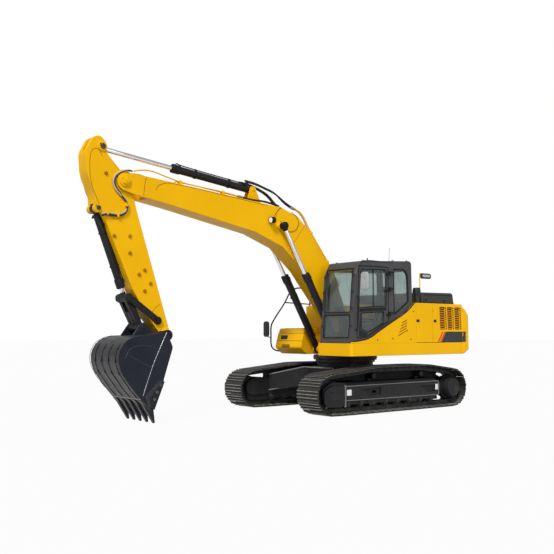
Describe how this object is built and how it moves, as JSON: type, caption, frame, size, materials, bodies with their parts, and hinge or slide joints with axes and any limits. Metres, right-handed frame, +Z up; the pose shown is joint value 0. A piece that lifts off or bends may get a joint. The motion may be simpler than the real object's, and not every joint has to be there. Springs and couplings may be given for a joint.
{
  "type": "crawler excavator",
  "caption": "Crawler excavator with cab, boom, arm, bucket and hydraulic cylinders on two steel tracks; the upper structure swings and the working gear moves.",
  "frame": {"origin": "middle of the machine's footprint box, on the ground", "axes": "+X towards the bucket, +Y to the left side (cab side), +Z up"},
  "size_m": [9.0114, 3.44, 4.935],
  "materials": {
    "paint_yellow": "gloss enamel with light scuffs and dust",
    "paint_charcoal": "satin charcoal enamel",
    "paint_black": "satin black enamel with dust",
    "track_steel": "bare forged steel, worn bright at the edges",
    "bucket_steel": "worn dark enamel over steel plate",
    "rod_chrome": "hard chrome, polished",
    "tinted_glass": "grey-green tinted safety glass",
    "seat_fabric": "woven seat cloth",
    "engine_iron": "cast iron"
  },
  "bodies": {
    "undercarriage": {"car_body": "paint_black", "swing_bearing": "paint_black", "track_left": "track_steel", "track_right": "track_steel", "track_frame_left": "paint_black", "track_frame_right": "paint_black", "sprocket_left": "paint_black", "sprocket_right": "paint_black"},
    "upper": {"revolving_frame": "paint_yellow", "counterweight": "paint_yellow", "engine_bay_frame": "paint_yellow", "engine_block": "engine_iron", "cooling_pack": "paint_black", "fuel_tank": "paint_yellow", "hydraulic_tank": "paint_yellow", "tool_box": "paint_yellow", "handrail": "paint_black", "mirror_right": "paint_black", "mirror_left": "rod_chrome", "air_intake": "paint_black", "cab_shell": "paint_charcoal", "cab_side_panel": "paint_yellow", "windscreen_lower": "tinted_glass", "windscreen_upper": "tinted_glass", "rear_window": "tinted_glass", "roof_hatch": "paint_charcoal", "side_window_left": "tinted_glass", "side_window_right": "tinted_glass", "operator_seat": "seat_fabric", "travel_levers": "paint_black"},
    "boom": {"boom": "paint_yellow", "work_light": "paint_black"},
    "arm": {"arm": "paint_yellow"},
    "bucket": {"bucket": "bucket_steel"},
    "boom_barrels": {"boom_cylinder_barrel_left": "paint_black", "boom_cylinder_barrel_right": "paint_black"},
    "boom_rods": {"boom_cylinder_rod_left": "rod_chrome", "boom_cylinder_rod_right": "rod_chrome"},
    "arm_barrel": {"arm_cylinder_barrel": "paint_black"},
    "arm_rod": {"arm_cylinder_rod": "rod_chrome"},
    "bucket_barrel": {"bucket_cylinder_barrel": "paint_black"},
    "bucket_rod": {"bucket_cylinder_rod": "rod_chrome"},
    "idler_links": {"idler_link_left": "paint_black", "idler_link_right": "paint_black"},
    "bucket_link": {"bucket_link": "paint_black"},
    "cab_door": {"cab_door": "paint_charcoal", "door_glass_upper": "tinted_glass", "door_glass_lower": "tinted_glass"},
    "left_door_front": {"left_door_front": "paint_yellow"},
    "left_door_rear": {"left_door_rear": "paint_yellow"},
    "right_door": {"right_door": "paint_yellow"},
    "engine_hood": {"engine_hood": "paint_black", "rear_mirror": "paint_yellow"},
    "tool_box_lid": {"tool_box_lid": "paint_yellow"}
  },
  "joints": [
    {"name": "swing", "type": "hinge", "parent": "undercarriage", "child": "upper", "pos_m": [-1.6557, -0.07, 1.112], "axis": [0, 0, 1], "continuous": true},
    {"name": "boom_lift", "type": "hinge", "parent": "upper", "child": "boom", "pos_m": [-1.4207, -0.07, 1.8], "axis": [0, -1, 0], "range_deg": [-68, 38]},
    {"name": "arm_swing", "type": "hinge", "parent": "boom", "child": "arm", "pos_m": [3.7943, -0.07, 4.2], "axis": [0, 1, 0], "range_deg": [-105, 12]},
    {"name": "bucket_curl", "type": "hinge", "parent": "arm", "child": "bucket", "pos_m": [2.9143, -0.07, 1.53], "axis": [0, 1, 0], "range_deg": [-3, 150]},
    {"name": "boom_barrel_tilt", "type": "hinge", "parent": "upper", "child": "boom_barrels", "pos_m": [-1.1557, -0.07, 1.222], "axis": [0, -1, 0], "range_deg": [-63.5, 35.7]},
    {"name": "boom_rod_slide", "type": "slide", "parent": "boom_barrels", "child": "boom_rods", "axis": [0.514, 0, 0.8578], "range_m": [-0.65, 0.365]},
    {"name": "arm_barrel_tilt", "type": "hinge", "parent": "boom", "child": "arm_barrel", "pos_m": [0.9043, -0.07, 4.395], "axis": [0, -1, 0], "range_deg": [-0.6, 0.2]},
    {"name": "arm_rod_slide", "type": "slide", "parent": "arm_barrel", "child": "arm_rod", "axis": [0.994, 0, 0.1094], "range_m": [-1.1, 0.128]},
    {"name": "bucket_barrel_tilt", "type": "hinge", "parent": "arm", "child": "bucket_barrel", "pos_m": [4.2593, -0.07, 3.69], "axis": [0, -1, 0], "range_deg": [-0.2, 2]},
    {"name": "bucket_rod_slide", "type": "slide", "parent": "bucket_barrel", "child": "bucket_rod", "axis": [-0.3651, 0, -0.931], "range_m": [-0.025, 1.21]},
    {"name": "idler_link_tilt", "type": "hinge", "parent": "arm", "child": "idler_links", "pos_m": [3.0893, -0.07, 1.785], "axis": [0, 1, 0], "range_deg": [-3, 127]},
    {"name": "bucket_link_tilt", "type": "hinge", "parent": "bucket", "child": "bucket_link", "pos_m": [3.4093, -0.07, 1.665], "axis": [0, -1, 0], "range_deg": [-2.5, 81]},
    {"name": "cab_door_hinge", "type": "hinge", "parent": "upper", "child": "cab_door", "pos_m": [-1.6117, 1.31, 2.2], "axis": [0, 0, 1], "range_deg": [0, 165]},
    {"name": "left_door_front_hinge", "type": "hinge", "parent": "upper", "child": "left_door_front", "pos_m": [-2.9307, 1.31, 1.8], "axis": [0, 0, 1], "range_deg": [0, 100]},
    {"name": "left_door_rear_hinge", "type": "hinge", "parent": "upper", "child": "left_door_rear", "pos_m": [-3.9327, 1.31, 1.8], "axis": [0, 0, 1], "range_deg": [0, 100]},
    {"name": "right_door_hinge", "type": "hinge", "parent": "upper", "child": "right_door", "pos_m": [-3.9327, -1.45, 1.8], "axis": [0, 0, -1], "range_deg": [0, 100]},
    {"name": "hood_hinge", "type": "hinge", "parent": "upper", "child": "engine_hood", "pos_m": [-2.8157, -0.07, 2.208], "axis": [0, 1, 0], "range_deg": [0, 50]},
    {"name": "tool_box_lid_hinge", "type": "hinge", "parent": "upper", "child": "tool_box_lid", "pos_m": [-1.5917, -1.005, 1.676], "axis": [0, -1, 0], "range_deg": [0, 80]}
  ],
  "couplings": [
    {"joint": "boom_barrel_tilt", "follows": "boom_lift", "ratio": 0.9249},
    {"joint": "boom_rod_slide", "follows": "boom_lift", "m_per_rad": 0.543},
    {"joint": "arm_barrel_tilt", "follows": "arm_swing", "ratio": 0.004},
    {"joint": "arm_rod_slide", "follows": "arm_swing", "m_per_rad": 0.599},
    {"joint": "bucket_barrel_tilt", "follows": "bucket_curl", "ratio": 0.0117},
    {"joint": "bucket_rod_slide", "follows": "bucket_curl", "m_per_rad": 0.46},
    {"joint": "idler_link_tilt", "follows": "bucket_curl", "ratio": 0.837},
    {"joint": "bucket_link_tilt", "follows": "bucket_curl", "ratio": 0.534}
  ]
}
